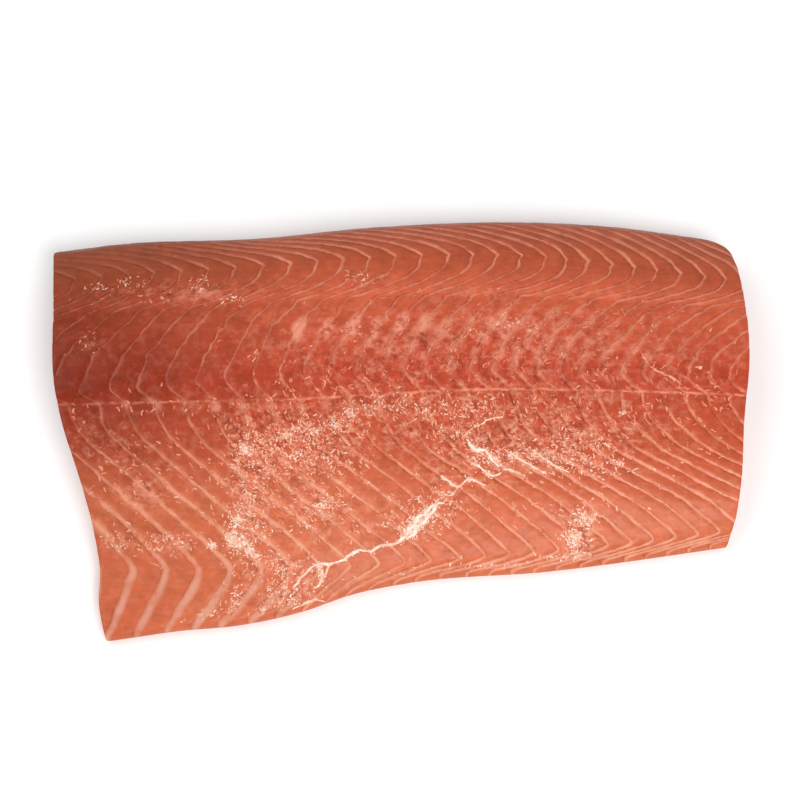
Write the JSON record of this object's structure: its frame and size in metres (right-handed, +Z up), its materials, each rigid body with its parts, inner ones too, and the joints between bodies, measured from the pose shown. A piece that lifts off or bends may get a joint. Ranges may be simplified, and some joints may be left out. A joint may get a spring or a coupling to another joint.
{
  "type": "side of salmon",
  "caption": "Raw boneless centre length of a side of salmon, skinned, lying flesh side up: thick back, thin belly flap, zigzag flakes, knife-cut ends.",
  "frame": {"origin": "centre of the bounding box in plan, at its foot, on the surface that the side lies on", "axes": "+X along the fish towards the tail, +Y across towards the back, +Z up out of the flesh side"},
  "size_m": [0.3347, 0.2071, 0.0325],
  "materials": {
    "flesh": "moist raw flesh, satin"
  },
  "bodies": {
    "root": {"salmon_side": "flesh"}
  },
  "joints": []
}
